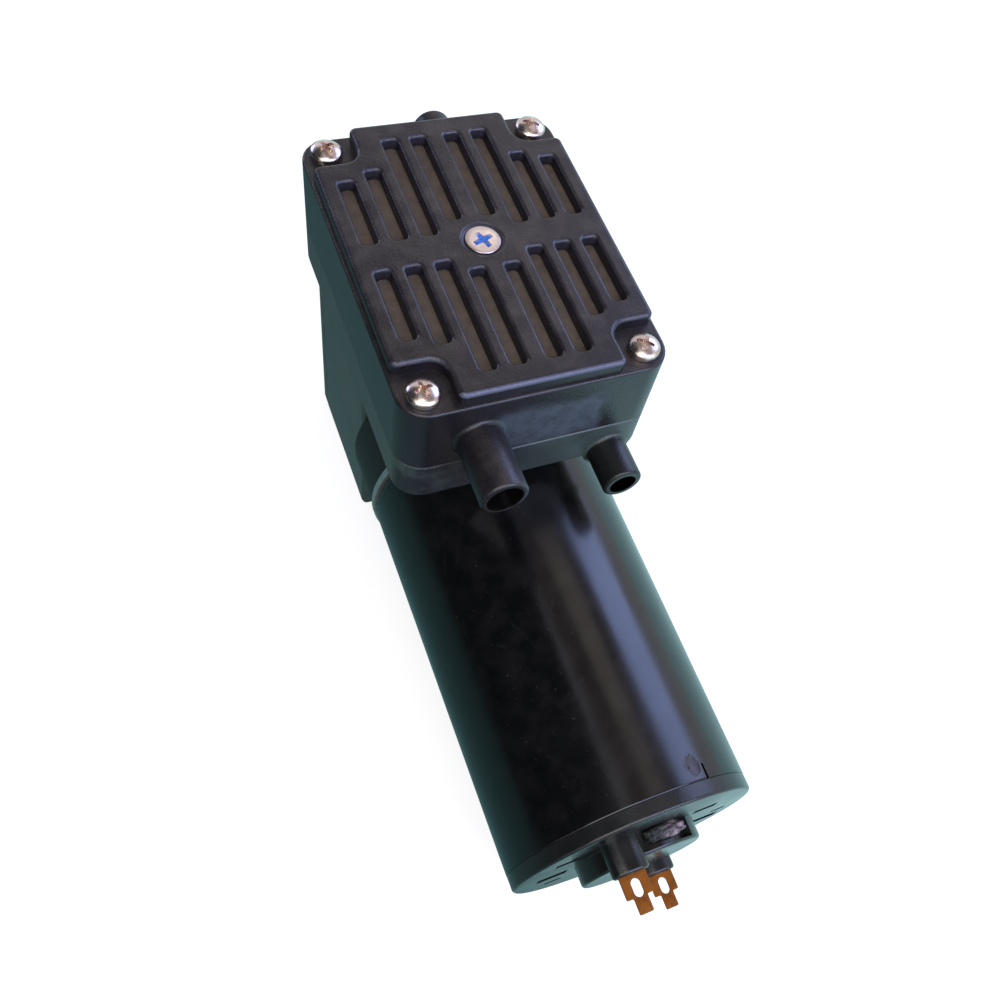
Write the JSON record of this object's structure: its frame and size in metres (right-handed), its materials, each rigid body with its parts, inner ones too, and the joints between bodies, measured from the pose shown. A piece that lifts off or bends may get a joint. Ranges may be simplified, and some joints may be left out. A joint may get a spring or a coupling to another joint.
{
  "type": "mini vacuum pump",
  "caption": "Single-diaphragm mini vacuum pump with a ribbed cover, hose ports, a crankcase and a brushed motor with blade terminals.",
  "frame": {"origin": "centre of the four mounting holes, on the flat underside of the crankcase", "axes": "+Z along the diaphragm's stroke, out of the ribbed cover; the motor lies along -Y; +X to the right as seen from the motor's terminals"},
  "size_m": [0.0464, 0.1456, 0.0741],
  "materials": {
    "cover_plastic": "semi-matte black glass-filled nylon",
    "case_plastic": "semi-matte black plastic with a greenish sheen",
    "nickel_screw": "nickel-plated steel",
    "grey_plastic": "dark grey plastic",
    "black_rubber": "moulded black rubber",
    "red_rubber": "silicone rubber",
    "steel": "ground steel",
    "gasket": "gasket sheet",
    "pale_metal": "plain cut metal",
    "can_paint": "glossy black enamel",
    "ferrite": "sintered ferrite",
    "cap_plastic": "black moulded plastic",
    "bronze": "sintered bronze",
    "terminal_copper": "tarnished copper alloy",
    "brass": "machined brass",
    "carbon": "pressed carbon",
    "grey_lump": "dipped ceramic",
    "lamination": "stacked electrical steel",
    "copper_wire": "enamelled copper",
    "red_insulator": "red insulation",
    "black_steel": "black oxide steel",
    "cast_alloy": "die-cast alloy"
  },
  "bodies": {
    "casing": {"head_cover": "cover_plastic", "cover_screws": "nickel_screw", "centre_screw": "nickel_screw", "valve_plate": "grey_plastic", "plate_seal": "black_rubber", "valve_pins": "steel", "diaphragm": "black_rubber", "crankcase": "case_plastic", "rear_cover": "case_plastic", "rear_gasket": "gasket", "rear_cover_screws": "nickel_screw", "mounting_ring": "pale_metal", "motor_screws": "steel", "motor_can": "can_paint", "magnets": "ferrite", "front_bearing_outer": "steel", "end_cap": "cap_plastic", "rear_bush": "bronze", "terminals": "terminal_copper", "brush_boxes": "brass", "brushes": "carbon", "brush_springs": "steel", "suppressor": "grey_lump"},
    "rotor": {"shaft": "steel", "armature_core": "lamination", "windings": "copper_wire", "commutator": "copper_wire", "insulators": "red_insulator", "front_bearing_inner": "steel", "front_bearing_balls": "steel", "eccentric": "brass", "set_screw": "black_steel", "crank_screw": "steel", "rod_bearing_inner": "steel", "rod_bearing_balls": "steel"},
    "rod": {"rod_bearing_outer": "steel", "connecting_rod": "cast_alloy", "clamp_disc": "cast_alloy", "diaphragm_screw": "nickel_screw"},
    "inlet_flap": {"inlet_valve": "red_rubber"},
    "outlet_flap": {"outlet_valve": "red_rubber"}
  },
  "joints": [
    {"name": "rotor_spin", "type": "hinge", "parent": "casing", "child": "rotor", "pos_m": [0, -0.05, 0.0229], "axis": [0, 1, 0], "continuous": true},
    {"name": "rod_orbit", "type": "hinge", "parent": "rotor", "child": "rod", "pos_m": [0, -0.003, 0.0214], "axis": [0, 1, 0], "continuous": true, "deforming": ["diaphragm"]},
    {"name": "inlet_valve_lift", "type": "slide", "parent": "casing", "child": "inlet_flap", "axis": [0, 0, -1], "range_m": [0, 0.0005], "stiffness_N_per_m": 20},
    {"name": "outlet_valve_lift", "type": "slide", "parent": "casing", "child": "outlet_flap", "axis": [0, 0, 1], "range_m": [0, 0.0005], "stiffness_N_per_m": 20}
  ],
  "couplings": [
    {"joint": "rod_orbit", "follows": "rotor_spin", "ratio": -1}
  ]
}
